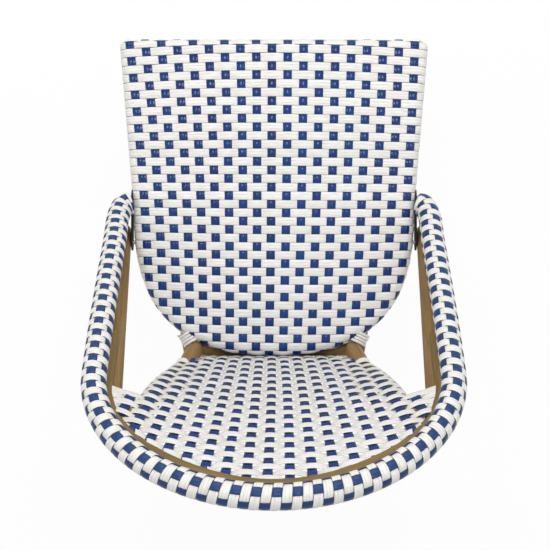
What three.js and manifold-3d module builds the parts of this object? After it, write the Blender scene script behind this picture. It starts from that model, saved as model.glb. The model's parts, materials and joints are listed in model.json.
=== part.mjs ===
// Woven bistro chair: a tube frame, a woven seat and back panel, and a wrapped hoop round the back.
// Millimetres, +Z up, the sitter faces -Y, +X is the sitter's left. The part stands on Z = 0.
import * as THREE from 'three';
import { mergeVertices } from 'three/addons/utils/BufferGeometryUtils.js';
import Module from 'manifold-3d';

const wasm = await Module();
wasm.setup();

// Driving sizes

const clearance = 0.3;
const overrun = 20;
const weld = 1e-3;

const seat = {
  height: 450,
  weave: 2.7,
  railRadius: 11,
  frontFlare: 20.3,
  frontReach: 310,
  sideHalf: 194,
  widestY: -70,
  rearReach: 129.5,
  lip: 7,
  rearPower: 2.55,
  barRadius: 7,
  frontBarY: -170,
  rearBarY: 10,
};

const leg = {
  radius: 12,
  wall: 1.5,
  boreShare: 0.8,
  frontTopY: -284,
  frontSplay: 7.6,
  frontFootY: -302,
  rearTopX: 117,
  rearTopY: 134,
  rearFootX: 150,
  rearFootY: 226,
};

const glide = { height: 6, lip: 1.5, stem: 18, chamfer: 1.5 };

const back = {
  weave: 2.7,
  shift: 144.9,
  slope: 78.6,
  sweep: 54.1,
  hollowLow: 2.9,
  hollowRise: 89,
  hollowFall: 66.5,
  curl: 7,
  curlPower: 8,
  curlFade: 45,
  spanX: 200,
  spanZ: 350,
  hem: 10,
  stileTop: 655,
  stileSplay: 66.5,
  stileBow: 17,
  stileSettle: 70,
  stileBehind: 14.5,
  shoulderX: 184,
  shoulderRise: 30,
};

const hoop = {
  lean: 45.8,
  footY: -88,
  bendStart: 18.6,
  bendRadius: 22,
  straightTop: 89,
  splay: 5.4,
  sideLength: 346,
  archRise: 196,
  tubeRadius: 13.7,
  wrap: 3,
};

const ring = { radius: 10, insetSide: 11.5, insetRear: 24.2, lap: 95, screwRadius: 2.2, headRadius: 4.2 };

const upright = { radius: 12.5, wall: 1.5, headInset: 8.3, pastBolt: 25, plug: 16, boreShare: 0.9 };

const plate = { thickness: 2, halfHeight: 12 };

const rail = {
  crossRadius: 11,
  stretcherRadius: 8,
  stretcherZ: 180,
  crossShare: 0.42,
  braceRadius: 6,
  braceReach: 105,
};

const bolt = { radius: 3, headRadius: 5, headHeight: 3.5 };

const colours = { cane: 0x8a7142, white: 0xefede9, black: 0x1b1b1c, steel: 0xb9bcc0, core: 0x9a9da1 };

// Places worked out from the driving sizes

const railSkin = seat.railRadius + clearance + seat.weave;
const railZ = seat.height - railSkin;
const stileSkin = leg.radius + clearance + back.weave;
const wrapRadius = hoop.tubeRadius + clearance + hoop.wrap;
const plateInner = seat.sideHalf + railSkin + clearance;
const plateOuter = plateInner + plate.thickness;
const hoopFootHalf = plateOuter + clearance + wrapRadius;
const hoopHalfWidth = hoopFootHalf + hoop.splay;
const seatFrontHalf = seat.sideHalf + seat.frontFlare;
const legBottom = glide.height + clearance;
const crossTouch = seat.railRadius + rail.crossRadius + clearance;
const crossDrop = Math.sqrt(crossTouch ** 2 - (leg.rearTopY - seat.rearReach) ** 2);
const crossZ = railZ - crossDrop;
const lean = THREE.MathUtils.degToRad(hoop.lean);
const along = new THREE.Vector3(0, Math.cos(lean), Math.sin(lean));
const front = new THREE.Vector3(0, -Math.sin(lean), Math.cos(lean));
const hoopFoot = new THREE.Vector3(0, hoop.footY, railZ);
const sides = [['left', 1], ['right', -1]];
const facetCount = { rail: 12, hoop: 12, ring: 10, leg: 12, rod: 14, small: 10, brace: 8 };

// Solids: a closed geometry becomes a manifold solid and comes back as a mesh geometry

function toSolid(geometry) {
  const bare = geometry.clone();
  bare.deleteAttribute('normal');
  bare.deleteAttribute('uv');
  const merged = mergeVertices(bare, weld);
  const p = merged.attributes.position;
  const index = Array.from(merged.index.array);
  const a = new THREE.Vector3();
  const b = new THREE.Vector3();
  const c = new THREE.Vector3();
  const triangles = [];
  let volume = 0;
  for (let i = 0; i < index.length; i += 3) {
    const [u, v, w] = index.slice(i, i + 3);
    if (u === v || v === w || w === u) continue;
    triangles.push(u, v, w);
    b.fromBufferAttribute(p, v).cross(c.fromBufferAttribute(p, w));
    volume += a.fromBufferAttribute(p, u).dot(b);
  }
  if (volume < 0) triangles.reverse();
  const vertProperties = new Float32Array(p.array);
  const triVerts = new Uint32Array(triangles);
  return new wasm.Manifold(new wasm.Mesh({ numProp: 3, vertProperties, triVerts }));
}

function toGeometry(solid) {
  const mesh = solid.getMesh();
  const geometry = new THREE.BufferGeometry();
  geometry.setAttribute('position', new THREE.BufferAttribute(new Float32Array(mesh.vertProperties), 3));
  geometry.setIndex(new THREE.BufferAttribute(new Uint32Array(mesh.triVerts), 1));
  const flat = geometry.toNonIndexed();
  flat.computeVertexNormals();
  return flat;
}

const join = (solids) => solids.reduce((sum, one) => sum.add(one));
const cut = (solid, tools) => tools.reduce((rest, one) => rest.subtract(one), solid);

function circle(radius, bore = 0) {
  const shape = new THREE.Shape();
  shape.absarc(0, 0, radius, 0, 2 * Math.PI, false);
  if (bore > 0) {
    const hole = new THREE.Path();
    hole.absarc(0, 0, bore, 0, 2 * Math.PI, true);
    shape.holes.push(hole);
  }
  return shape;
}

// A smooth route through its points, with one ring of a tube's skin at each of them
class Route extends THREE.CatmullRomCurve3 {
  constructor(points) {
    super(points, false, 'centripetal');
  }

  getUtoTmapping(u) {
    return u;
  }
}

function tube(curve, radius, { facets = facetCount.rod, bore = 0 } = {}) {
  const steps = curve.points ? curve.points.length - 1 : 1;
  const options = { steps, curveSegments: facets / 2, bevelEnabled: false, extrudePath: curve };
  return toSolid(new THREE.ExtrudeGeometry(circle(radius, bore), options));
}

function rod(from, to, radius, facets = facetCount.rod) {
  return tube(new THREE.LineCurve3(from, to), radius, { facets });
}

function beyond(from, to, extra) {
  return to.clone().add(to.clone().sub(from).setLength(extra));
}

function revolve(profile, place, direction, facets = facetCount.rod) {
  const geometry = new THREE.LatheGeometry(profile.map(([r, h]) => new THREE.Vector2(r, h)), facets);
  const turn = new THREE.Quaternion().setFromUnitVectors(new THREE.Vector3(0, 1, 0), direction);
  geometry.applyQuaternion(turn);
  geometry.translate(place.x, place.y, place.z);
  return toSolid(geometry);
}

function block(low, high) {
  const size = high.clone().sub(low);
  const middle = high.clone().add(low).multiplyScalar(0.5);
  const geometry = new THREE.BoxGeometry(size.x, size.y, size.z);
  geometry.translate(middle.x, middle.y, middle.z);
  return toSolid(geometry);
}

function ball(place, radius, facets) {
  const geometry = new THREE.SphereGeometry(radius, facets, facets / 2);
  geometry.rotateX(Math.PI / 2);
  geometry.translate(place.x, place.y, place.z);
  return toSolid(geometry);
}

// Seat: a rail bent to a U behind and squared in front, with the woven skin drawn over it

function railHalfWidth(y) {
  if (y > seat.widestY) {
    const run = (y - seat.widestY) / (seat.rearReach - seat.widestY);
    return seat.sideHalf * (1 - run ** seat.rearPower) ** (1 / seat.rearPower);
  }
  const run = (seat.widestY - y) / (seat.widestY + seat.frontReach);
  return seat.sideHalf + seat.frontFlare * run;
}

function seatRail() {
  const sideSteps = 3;
  const bendSteps = 16;
  const power = 2 / seat.rearPower;
  const points = [];
  for (let i = 0; i < sideSteps; i += 1) {
    const y = THREE.MathUtils.lerp(-seat.frontReach, seat.widestY, i / sideSteps);
    points.push(new THREE.Vector3(railHalfWidth(y), y, railZ));
  }
  const near = points.map((p) => new THREE.Vector3(-p.x, p.y, p.z)).reverse();
  for (let i = 0; i <= bendSteps; i += 1) {
    const angle = (Math.PI * i) / bendSteps;
    const x = seat.sideHalf * Math.sign(Math.cos(angle)) * Math.abs(Math.cos(angle)) ** power;
    const y = THREE.MathUtils.lerp(seat.widestY, seat.rearReach, Math.abs(Math.sin(angle)) ** power);
    points.push(new THREE.Vector3(x, y, railZ));
  }
  return new Route([...points, ...near]);
}

function railLoop(radius) {
  const curve = seatRail();
  const corners = [curve.getPoint(0), curve.getPoint(1)];
  return join([
    tube(curve, radius, { facets: facetCount.rail }),
    rod(...corners, radius, facetCount.rail),
    ...corners.map((corner) => ball(corner, radius, facetCount.rail)),
  ]);
}

function seatWeave() {
  const outline = seatRail().points.map((p) => new THREE.Vector2(p.x, p.y));
  const options = { depth: seat.weave, bevelEnabled: false };
  const sheet = new THREE.ExtrudeGeometry(new THREE.Shape(outline), options);
  sheet.translate(0, 0, seat.height - seat.weave);
  const skin = join([toSolid(sheet), railLoop(railSkin)]);
  const reach = new THREE.Vector3(seatFrontHalf, seat.frontReach, railSkin).addScalar(railSkin + overrun);
  const low = new THREE.Vector3(0, 0, railZ).sub(reach);
  const high = new THREE.Vector3(reach.x, reach.y, railZ - seat.lip);
  return skin.subtract(block(low, high));
}

function seatBar(y, radius) {
  const half = railHalfWidth(y);
  const ends = [half, -half].map((x) => new THREE.Vector3(x, y, railZ));
  return rod(...ends, radius, facetCount.small);
}

// Hoop: a half ellipse on two long sides in one leaning plane, its ends bent in to the seat

function inPlane(u, v, depth) {
  return new THREE.Vector3(u, 0, 0).add(hoopFoot).addScaledVector(along, v).addScaledVector(front, -depth);
}

function hoopHalf(v) {
  const share = THREE.MathUtils.clamp((v - hoop.straightTop) / (hoop.sideLength - hoop.straightTop), 0, 1);
  return THREE.MathUtils.lerp(hoopFootHalf, hoopHalfWidth, Math.sin((share * Math.PI) / 2));
}

function archNormal(angle) {
  return new THREE.Vector2(Math.cos(angle) / hoopHalfWidth, Math.sin(angle) / hoop.archRise).normalize();
}

function archPoint(angle, inset, depth) {
  const n = archNormal(angle);
  const u = hoopHalfWidth * Math.cos(angle) - inset * n.x;
  const v = hoop.sideLength + hoop.archRise * Math.sin(angle) - inset * n.y;
  return inPlane(u, v, depth);
}

function hoopCurve() {
  const bendSteps = 4;
  const sideSteps = 4;
  const archSteps = 16;
  const half = [];
  const bendCentre = hoopFootHalf - hoop.bendRadius;
  for (let i = 0; i < bendSteps; i += 1) {
    const angle = (Math.PI / 2) * (1 - i / bendSteps);
    const u = bendCentre + hoop.bendRadius * Math.cos(angle);
    half.push([u, hoop.bendStart - hoop.bendRadius * Math.sin(angle)]);
  }
  for (let i = 0; i < sideSteps; i += 1) {
    const v = THREE.MathUtils.lerp(hoop.bendStart, hoop.sideLength, i / sideSteps);
    half.push([hoopHalf(v), v]);
  }
  const points = half.map(([u, v]) => inPlane(u, v, 0));
  for (let i = 0; i <= archSteps; i += 1) points.push(archPoint((Math.PI * i) / archSteps, 0, 0));
  for (const [u, v] of half.reverse()) points.push(inPlane(-u, v, 0));
  return new Route(points);
}

function hoopBody(radius, bore = 0) {
  return tube(hoopCurve(), radius, { facets: facetCount.hoop, bore });
}

// Ring: a thinner tube that nests inside and behind the hoop and rims the back panel

function ringInset(angle) {
  return THREE.MathUtils.lerp(ring.insetSide, ring.insetRear, Math.sin(angle));
}

function ringDepth(inset) {
  return Math.sqrt((wrapRadius + ring.radius + clearance) ** 2 - inset ** 2);
}

function ringPoint(angle, extraDepth = 0) {
  const inset = ringInset(angle);
  return archPoint(angle, inset, ringDepth(inset) + extraDepth);
}

function ringCurve() {
  const archSteps = 16;
  const depth = ringDepth(ring.insetSide);
  const ends = [hoop.sideLength - ring.lap, hoop.sideLength - ring.lap / 2];
  const low = ends.map((v) => inPlane(hoopHalf(v) - ring.insetSide, v, depth));
  const arch = Array.from({ length: archSteps + 1 }, (_, i) => ringPoint((Math.PI * i) / archSteps));
  const far = low.map((p) => new THREE.Vector3(-p.x, p.y, p.z)).reverse();
  return new Route([...low, ...arch, ...far]);
}

function ringBody(radius) {
  return tube(ringCurve(), radius, { facets: facetCount.ring });
}

// Uprights: straight tubes behind the hoop, from the side plates to the ring's ends

const uprightHeadHalf = hoopHalfWidth - ring.insetSide - upright.headInset;
const uprightFootHalf = plateOuter + clearance + upright.radius;
const headTouch = ring.radius + upright.radius + clearance;
const uprightDepth = ringDepth(ring.insetSide) + Math.sqrt(headTouch ** 2 - upright.headInset ** 2);
const uprightBoltRun = (uprightDepth * front.z) / along.z;

function uprightPoint(sign, v) {
  const tilt = Math.sign(uprightFootHalf - uprightHeadHalf);
  const touchRun = uprightBoltRun + (tilt * plate.halfHeight) / along.z;
  const share = (v - touchRun) / (hoop.sideLength - touchRun);
  return inPlane(sign * THREE.MathUtils.lerp(uprightFootHalf, uprightHeadHalf, share), v, uprightDepth);
}

function uprightEnds(sign) {
  return [uprightPoint(sign, uprightBoltRun - upright.pastBolt), uprightPoint(sign, hoop.sideLength)];
}

function uprightTube(sign) {
  const [foot, head] = uprightEnds(sign);
  const boreEnd = foot.clone().lerp(head, upright.boreShare);
  const bore = rod(beyond(head, foot, overrun), boreEnd, upright.radius - upright.wall);
  return rod(foot, head, upright.radius).subtract(bore);
}

function uprightPlug(sign) {
  const [foot, head] = uprightEnds(sign);
  const spigot = upright.radius - upright.wall - clearance;
  const crown = upright.wall * 2;
  const profile = [
    [0, upright.plug],
    [spigot, upright.plug],
    [spigot, -clearance],
    [upright.radius, -clearance],
    [upright.radius - crown / 2, -clearance - crown],
    [0, -clearance - crown],
  ];
  return revolve(profile, foot, head.clone().sub(foot).normalize());
}

// Back panel: the woven skin leans back and curls forward at its sides

function panelY(x, z) {
  const h = Math.max(0, z - seat.height) / back.spanZ;
  const s = Math.abs(x) / back.spanX;
  const middle = back.shift + back.slope * h + back.sweep * h * h;
  const hollow = back.hollowLow + back.hollowRise * h - back.hollowFall * h * h;
  const fade = 1 - THREE.MathUtils.smoothstep(z, back.stileTop, back.stileTop + back.curlFade);
  const behindRail = leg.rearTopY + rail.crossRadius + clearance + back.weave / 2;
  return Math.max(middle - hollow * s * s - back.curl * fade * s ** back.curlPower, behindRail);
}

function stileX(z) {
  const share = Math.max(0, z - seat.height) / (back.stileTop - seat.height);
  return leg.rearTopX + back.stileSplay * share - back.stileBow * share * share;
}

function stilePoint(sign, z) {
  const lag = panelY(leg.rearTopX, railZ) - leg.rearTopY;
  const rise = THREE.MathUtils.smoothstep(z, railZ, railZ + back.stileSettle);
  const x = z > back.stileTop ? back.shoulderX : stileX(z);
  return new THREE.Vector3(sign * x, panelY(x, z) - lag * (1 - rise) + back.stileBehind * rise, z);
}

function rearLegEnds(sign) {
  const foot = new THREE.Vector3(sign * leg.rearFootX, leg.rearFootY, legBottom);
  return [foot, stilePoint(sign, railZ)];
}

function rearLegCurve(sign) {
  const [foot, knee] = rearLegEnds(sign);
  const lowShares = [0.5, 0.88, 0.96];
  const stileShares = [0.06, 0.14, 0.26, 0.42, 0.6, 0.76, 0.88];
  const angle = Math.PI / 10;
  return new Route([
    beyond(knee, foot, overrun),
    ...lowShares.map((share) => foot.clone().lerp(knee, share)),
    knee,
    ...stileShares.map((share) => stilePoint(sign, THREE.MathUtils.lerp(railZ, back.stileTop, share))),
    stilePoint(sign, back.stileTop),
    stilePoint(sign, back.stileTop + back.shoulderRise),
    ringPoint(sign > 0 ? angle : Math.PI - angle, ring.radius / 2),
  ]);
}

function rearLegBody(sign, radius) {
  return tube(rearLegCurve(sign), radius, { facets: facetCount.leg });
}

function rearLeg(sign) {
  const [foot, knee] = rearLegEnds(sign);
  const boreEnd = foot.clone().lerp(knee, leg.boreShare);
  const bore = rod(beyond(knee, foot, overrun * 2), boreEnd, leg.radius - leg.wall);
  return rearLegBody(sign, leg.radius).subtract(bore);
}

function stileSleeve(sign) {
  const points = rearLegCurve(sign).getPoints(facetCount.leg * 4);
  const [low, high] = [seat.height + railSkin, back.stileTop + back.curlFade / 3];
  const wrapped = points.filter((p, i) => i % 2 === 0 && p.z > low && p.z < high);
  return tube(new Route(wrapped), stileSkin, { facets: facetCount.leg });
}

// The panel meets the ring where its middle surface crosses the ring's skin
function meetRing(angle) {
  const n = archNormal(angle);
  const centre = ringPoint(angle);
  const inward = new THREE.Vector3(-n.x, 0, 0).addScaledVector(along, -n.y);
  const reach = ring.radius + clearance + back.weave / 2;
  let low = -Math.PI / 2;
  let high = Math.PI / 2;
  const point = new THREE.Vector3();
  for (let i = 0; i < 30; i += 1) {
    const turn = (low + high) / 2;
    point.copy(centre).addScaledVector(inward, reach * Math.cos(turn));
    point.addScaledVector(front, reach * Math.sin(turn));
    if (point.y < panelY(point.x, point.z)) high = turn;
    else low = turn;
  }
  return [point.x, point.z];
}

function panelOutline() {
  const bottom = crossZ - back.hem;
  const across = 4;
  const up = 7;
  const round = 12;
  const half = [];
  for (let i = 0; i < across; i += 1) half.push([(leg.rearTopX * i) / across, bottom]);
  for (let i = 0; i <= up; i += 1) {
    const z = THREE.MathUtils.lerp(bottom, back.stileTop, i / up);
    half.push([stileX(z), z]);
  }
  for (let i = 0; i <= round; i += 1) half.push(meetRing((Math.PI / 2) * (i / round)));
  half[half.length - 1][0] = 0;
  const far = half.slice(1, -1).reverse().map(([x, z]) => [-x, z]);
  return [...half, ...far];
}

function panelSheet() {
  const outline = panelOutline();
  const count = outline.length;
  const hubZ = back.stileTop + back.shoulderRise / 2;
  const ringShares = [1, 0.8, 0.55, 0.3];
  const layer = ringShares.length * count + 1;
  const positions = [];
  const faces = [];
  const place = (x, z, side) => {
    const dx = (panelY(x + weld, z) - panelY(x - weld, z)) / (weld * 2);
    const dz = (panelY(x, z + weld) - panelY(x, z - weld)) / (weld * 2);
    const normal = new THREE.Vector3(dx, -1, dz).normalize();
    const p = new THREE.Vector3(x, panelY(x, z), z).addScaledVector(normal, (side * back.weave) / 2);
    positions.push(p.x, p.y, p.z);
  };
  for (const side of [1, -1]) {
    for (const share of ringShares) {
      for (const [x, z] of outline) place(x * share, hubZ + (z - hubZ) * share, side);
    }
    place(0, hubZ, side);
  }
  for (let i = 0; i < count; i += 1) {
    const j = (i + 1) % count;
    for (let r = 0; r + 1 < ringShares.length; r += 1) {
      const [a, b, c, d] = [r * count + i, r * count + j, (r + 1) * count + j, (r + 1) * count + i];
      faces.push(a, b, c, a, c, d);
      faces.push(layer + a, layer + c, layer + b, layer + a, layer + d, layer + c);
    }
    const inner = (ringShares.length - 1) * count;
    faces.push(inner + i, inner + j, layer - 1);
    faces.push(layer + inner + i, 2 * layer - 1, layer + inner + j);
    faces.push(i, layer + i, layer + j, i, layer + j, j);
  }
  const geometry = new THREE.BufferGeometry();
  geometry.setAttribute('position', new THREE.Float32BufferAttribute(positions, 3));
  geometry.setIndex(faces);
  return toSolid(geometry);
}

// Legs, glides, stretchers and braces below the seat

function frontLegEnds(sign) {
  return [
    new THREE.Vector3(sign * (railHalfWidth(leg.frontTopY) + leg.frontSplay), leg.frontFootY, legBottom),
    new THREE.Vector3(sign * railHalfWidth(leg.frontTopY), leg.frontTopY, railZ - seat.railRadius / 2),
  ];
}

function frontLeg(sign, radius, bore = 0) {
  const [foot, top] = frontLegEnds(sign);
  return tube(new THREE.LineCurve3(beyond(top, foot, overrun), top), radius, { bore });
}

function legAt([foot, top], z) {
  return foot.clone().lerp(top, (z - foot.z) / (top.z - foot.z));
}

function footGlide(ends) {
  const [foot] = ends;
  const flange = leg.radius + glide.lip;
  const profile = [
    [0, 0],
    [flange - glide.chamfer, 0],
    [flange, glide.chamfer],
    [flange, glide.height],
    [0, glide.height],
  ];
  const base = new THREE.Vector3(foot.x, foot.y, 0);
  const [stemLow, stemTop] = [legAt(ends, glide.height / 2), legAt(ends, glide.height + glide.stem)];
  const stem = rod(stemLow, stemTop, leg.radius - leg.wall - clearance);
  return revolve(profile, base, new THREE.Vector3(0, 0, 1)).add(stem);
}

function stretcherEnds(sign) {
  return [legAt(frontLegEnds(sign), rail.stretcherZ), legAt(rearLegEnds(sign), rail.stretcherZ)];
}

function crossStretcherEnds() {
  return sides.map(([, sign]) => {
    const [a, b] = stretcherEnds(sign);
    return a.clone().lerp(b, rail.crossShare);
  });
}

function brace(ends, topZ, high, radius) {
  const cornerShare = 0.12;
  const low = legAt(ends, topZ - rail.braceReach);
  const corner = legAt(ends, topZ - seat.railRadius).lerp(high, cornerShare);
  const bend = new THREE.QuadraticBezierCurve3(low, corner, high);
  return tube(new Route(bend.getPoints(9)), radius, { facets: facetCount.brace });
}

function frontBrace(sign, radius) {
  const x = railHalfWidth(-seat.frontReach) - rail.braceReach;
  return brace(frontLegEnds(sign), railZ, new THREE.Vector3(sign * x, -seat.frontReach, railZ), radius);
}

function sideBrace(sign, radius) {
  const y = leg.frontTopY + rail.braceReach;
  return brace(frontLegEnds(sign), railZ, new THREE.Vector3(sign * railHalfWidth(y), y, railZ), radius);
}

function rearBrace(sign, radius) {
  const x = leg.rearTopX - rail.braceReach * rail.crossShare;
  return brace(rearLegEnds(sign), crossZ, new THREE.Vector3(sign * x, leg.rearTopY, crossZ), radius);
}

// Side plates: flat bars with round ends, bolted between the seat rail and the hoop and upright

function hoopBoltEnds(sign) {
  const place = inPlane(0, hoop.bendStart - hoop.bendRadius, 0);
  const head = railHalfWidth(place.y) - seat.railRadius - clearance;
  return [place.clone().setX(sign * head), place.clone().setX(sign * (hoopFootHalf - bolt.radius))];
}

function uprightBoltEnds(sign) {
  const place = uprightPoint(sign, uprightBoltRun);
  const head = railHalfWidth(place.y) - seat.railRadius - clearance;
  return [place.clone().setX(sign * head), place];
}

function sidePlate(sign, grow = 0) {
  const [a, b] = [hoopBoltEnds(sign)[0], uprightBoltEnds(sign)[0]];
  const radius = plate.halfHeight + grow;
  const tilt = Math.atan2(b.z - a.z, b.y - a.y);
  const shape = new THREE.Shape();
  shape.absarc(b.y, b.z, radius, tilt - Math.PI / 2, tilt + Math.PI / 2, false);
  shape.absarc(a.y, a.z, radius, tilt + Math.PI / 2, tilt + (3 * Math.PI) / 2, false);
  const depth = plate.thickness + grow * 2;
  const options = { depth, curveSegments: facetCount.small, bevelEnabled: false };
  const geometry = new THREE.ExtrudeGeometry(shape, options);
  geometry.applyMatrix4(new THREE.Matrix4().set(0, 0, 1, 0, 1, 0, 0, 0, 0, 1, 0, 0, 0, 0, 0, 1));
  geometry.translate(plateInner - grow, 0, 0);
  if (sign < 0) geometry.applyMatrix4(new THREE.Matrix4().makeScale(sign, 1, 1));
  return toSolid(geometry);
}

// Fixings: hexagon bolts and screws, each with the hole that it passes through

function hexBolt([head, tip], grow = 0) {
  const under = head.clone();
  const top = beyond(tip, head, bolt.headHeight + grow * overrun);
  const shank = rod(under, grow ? beyond(head, tip, grow) : tip, bolt.radius + grow, facetCount.small);
  return rod(top, under, bolt.headRadius + grow, grow ? facetCount.small : 6).add(shank);
}

function ringScrewEnds(angle) {
  const centre = ringPoint(angle);
  const target = archPoint(angle, 0, 0);
  return [beyond(target, centre, ring.radius), target];
}

function ringScrew(angle, grow = 0) {
  const [head, tip] = ringScrewEnds(angle);
  const shank = ring.screwRadius + grow;
  const length = head.distanceTo(tip) + grow;
  const crown = -ring.screwRadius - grow * overrun;
  const seatAt = grow ? grow : -clearance;
  const profile = [
    [0, crown],
    [ring.headRadius / 2 + grow, crown],
    [ring.headRadius + grow, seatAt],
    [shank, seatAt],
    [shank, length],
    [0, length],
  ];
  return revolve(profile, head, tip.clone().sub(head).normalize(), facetCount.small);
}

function rearBoltEnds() {
  const low = new THREE.Vector3(0, leg.rearTopY, crossZ);
  const high = new THREE.Vector3(0, seat.rearReach, railZ);
  return [beyond(high, low, rail.crossRadius + clearance), high];
}

// Assembly

const part = new THREE.Group();
const assembly = new THREE.Group();

function add(name, solid, colour, roughness, metalness = 0) {
  const material = new THREE.MeshStandardMaterial({ color: colour, roughness, metalness });
  const mesh = new THREE.Mesh(toGeometry(solid), material);
  mesh.name = name;
  assembly.add(mesh);
}

const both = (make) => sides.map(([, sign]) => make(sign));
const railRoom = railLoop(seat.railRadius + clearance);
const skinRoom = railLoop(railSkin + clearance);
const hoopRoom = hoopBody(wrapRadius + clearance);
const ringRoom = ringBody(ring.radius + clearance);
const frontLegRoom = both((sign) => frontLeg(sign, leg.radius + clearance));
const rearLegRoom = both((sign) => rearLegBody(sign, leg.radius + clearance));
const uprightRoom = both((sign) => {
  const [foot, head] = uprightEnds(sign);
  return rod(beyond(head, foot, clearance), beyond(foot, head, clearance), upright.radius + clearance);
});
const plateRoom = both((sign) => sidePlate(sign, clearance));
const plateSide = both((sign) => {
  const reach = new THREE.Vector3(0, hoop.sideLength, hoop.sideLength);
  const low = new THREE.Vector3(sign > 0 ? 0 : -plateOuter - clearance, hoop.footY, railZ).sub(reach);
  const high = new THREE.Vector3(sign > 0 ? plateOuter + clearance : 0, hoop.footY, railZ).add(reach);
  return block(low, high.setY(hoop.footY + plate.halfHeight * 2));
});
const crossEnds = both((sign) => stilePoint(sign, railZ).setZ(crossZ));
const crossRoom = rod(...crossEnds, rail.crossRadius + clearance);
const stretcherRoom = both((sign) => rod(...stretcherEnds(sign), rail.stretcherRadius + clearance));
const barRoom = [seat.frontBarY, seat.rearBarY].map((y) => seatBar(y, seat.barRadius + clearance));
const braceRoom = [frontBrace, sideBrace].flatMap((make) => {
  return both((sign) => make(sign, rail.braceRadius + clearance));
});
const hoopBoltRoom = both((sign) => hexBolt(hoopBoltEnds(sign), clearance));
const uprightBoltRoom = both((sign) => hexBolt(uprightBoltEnds(sign), clearance));
const rearBoltRoom = hexBolt(rearBoltEnds(), clearance);
const screwAngles = [['left', Math.PI / 5], ['rear', Math.PI / 2], ['right', (4 * Math.PI) / 5]];
const screwRoom = screwAngles.map(([, angle]) => ringScrew(angle, clearance));
const ground = block(
  new THREE.Vector3(-hoopHalfWidth, leg.frontFootY, -leg.radius).subScalar(overrun * 2),
  new THREE.Vector3(hoopHalfWidth, leg.rearFootY, 0).addScalar(overrun * 2).setZ(legBottom),
);

const caneRough = 0.42;
const strandRough = 0.38;
const { cane, white, black, steel, core } = colours;

add('seat_frame', cut(railLoop(seat.railRadius), [
  ...hoopBoltRoom, ...uprightBoltRoom, rearBoltRoom,
]), cane, caneRough);
add('seat_weave', cut(seatWeave(), [
  railRoom, crossRoom, rearBoltRoom, ...frontLegRoom, ...barRoom, ...braceRoom,
  ...plateRoom, ...hoopBoltRoom, ...uprightBoltRoom,
]), white, strandRough);
add('seat_bar_front', seatBar(seat.frontBarY, seat.barRadius).subtract(railRoom), core, caneRough, 0.6);
add('seat_bar_rear', seatBar(seat.rearBarY, seat.barRadius).subtract(railRoom), core, caneRough, 0.6);
add('back_cross_rail', cut(rod(...crossEnds, rail.crossRadius), [
  ...rearLegRoom, railRoom, rearBoltRoom,
]), cane, caneRough);
add('rear_bolt', hexBolt(rearBoltEnds()), steel, strandRough, 1);
add('back_ring', cut(ringBody(ring.radius), [...uprightRoom, ...screwRoom]), cane, caneRough);
add('back_weave', cut(join([panelSheet(), ...both(stileSleeve)]), [
  ...rearLegRoom, ringRoom, hoopRoom, ...uprightRoom, crossRoom, skinRoom, ...screwRoom,
]).decompose().sort((a, b) => b.volume() - a.volume())[0], white, strandRough);
add('hoop_tube', cut(hoopBody(hoop.tubeRadius), [
  ...plateSide, skinRoom, ...hoopBoltRoom, ...screwRoom,
]), core, caneRough, 0.6);
add('hoop_wrap', cut(hoopBody(wrapRadius, hoop.tubeRadius + clearance), [
  ...plateSide, skinRoom, ...screwRoom,
]), white, strandRough);
const crossBar = rod(...crossStretcherEnds(), rail.stretcherRadius);
add('cross_stretcher', cut(crossBar, stretcherRoom), cane, caneRough);
for (const [name, angle] of screwAngles) {
  add(`ring_screw_${name}`, ringScrew(angle), steel, strandRough, 1);
}

for (const [side, sign] of sides) {
  const [frontEnds, rearEnds] = [frontLegEnds(sign), rearLegEnds(sign)];
  const stretcher = rod(...stretcherEnds(sign), rail.stretcherRadius);
  const frontTube = frontLeg(sign, leg.radius, leg.radius - leg.wall);
  const rearRoom = [ground, ...uprightRoom, ringRoom, railRoom, ...screwRoom];
  const frontBar = frontBrace(sign, rail.braceRadius);
  const sideBar = sideBrace(sign, rail.braceRadius);
  const rearBar = rearBrace(sign, rail.braceRadius);
  add(`front_leg_${side}`, cut(frontTube, [ground, railRoom]), cane, caneRough);
  add(`rear_leg_${side}`, cut(rearLeg(sign), rearRoom), cane, caneRough);
  add(`front_glide_${side}`, footGlide(frontEnds), black, strandRough);
  add(`rear_glide_${side}`, footGlide(rearEnds), black, strandRough);
  add(`side_stretcher_${side}`, cut(stretcher, [...frontLegRoom, ...rearLegRoom]), cane, caneRough);
  add(`front_brace_${side}`, cut(frontBar, [...frontLegRoom, railRoom]), cane, caneRough);
  add(`side_brace_${side}`, cut(sideBar, [...frontLegRoom, railRoom]), cane, caneRough);
  add(`rear_brace_${side}`, cut(rearBar, [...rearLegRoom, crossRoom]), cane, caneRough);
  add(`upright_${side}`, cut(uprightTube(sign), uprightBoltRoom), cane, caneRough);
  add(`upright_plug_${side}`, uprightPlug(sign), black, strandRough);
  const boltRoom = [...hoopBoltRoom, ...uprightBoltRoom];
  add(`side_plate_${side}`, cut(sidePlate(sign), boltRoom), black, strandRough, 0.5);
  add(`hoop_bolt_${side}`, hexBolt(hoopBoltEnds(sign)), steel, strandRough, 1);
  add(`upright_bolt_${side}`, hexBolt(uprightBoltEnds(sign)), steel, strandRough, 1);
}

// The origin is under the middle of the whole chair
const frontFace = -seat.frontReach - railSkin;
const rearFace = archPoint(Math.PI / 2, 0, 0).y + wrapRadius;
assembly.position.y = -(frontFace + rearFace) / 2;
part.add(assembly);

export default part;
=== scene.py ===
import json
import math

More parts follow.
